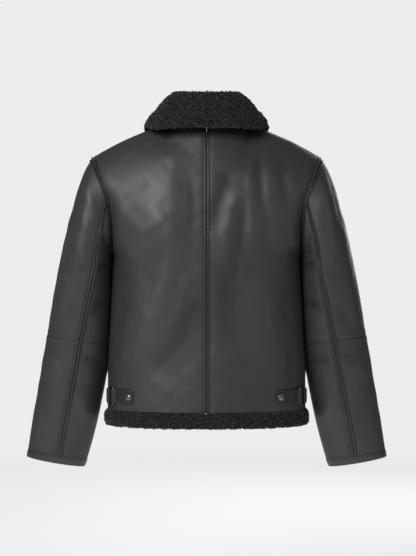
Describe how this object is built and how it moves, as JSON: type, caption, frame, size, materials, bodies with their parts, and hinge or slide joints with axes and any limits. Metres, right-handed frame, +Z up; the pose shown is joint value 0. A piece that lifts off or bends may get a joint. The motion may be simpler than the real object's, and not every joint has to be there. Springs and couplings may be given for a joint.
{
  "type": "shearling jacket",
  "caption": "Black leather shearling jacket, filled out as if worn, with a fur collar and hem band, stitched seam strips, waist tabs with rings, and a front zip.",
  "frame": {"origin": "between the two neck points, level with the tops of the shoulders, where the wearer holds it up", "axes": "+Z up, -Y the way the wearer faces, +X the wearer's left; the back faces +Y"},
  "size_m": [0.795, 0.2807, 0.8261],
  "materials": {
    "leather": "satin, fine grain",
    "fur": "curly clipped wool",
    "metal": "dark polished",
    "zip_tape": "woven"
  },
  "bodies": {
    "jacket": {"back_left": "leather", "back_right": "leather", "front_left": "leather", "front_right": "leather", "centre_back_strip": "leather", "sleeve_top_upper_left": "leather", "sleeve_top_lower_left": "leather", "sleeve_under_upper_left": "leather", "sleeve_under_lower_left": "leather", "cuff_left": "leather", "armhole_strip_left": "leather", "sleeve_strip_left": "leather", "tab_strap_left": "leather", "tab_anchor_left": "leather", "sleeve_top_upper_right": "leather", "sleeve_top_lower_right": "leather", "sleeve_under_upper_right": "leather", "sleeve_under_lower_right": "leather", "cuff_right": "leather", "armhole_strip_right": "leather", "sleeve_strip_right": "leather", "tab_strap_right": "leather", "tab_anchor_right": "leather", "collar": "fur", "hem_band": "fur", "tab_ring_left": "metal", "tab_ring_right": "metal", "tab_snap_left": "metal", "tab_snap_right": "metal", "zip_chain": "metal", "zip_slider": "metal", "zip_tape_left": "zip_tape", "zip_tape_right": "zip_tape"},
    "pull": {"zip_pull": "metal"}
  },
  "joints": [
    {"name": "pull_hinge", "type": "hinge", "parent": "jacket", "child": "pull", "pos_m": [0, -0.1243, -0.119], "axis": [-1, 0, 0], "range_deg": [0, 150]}
  ]
}
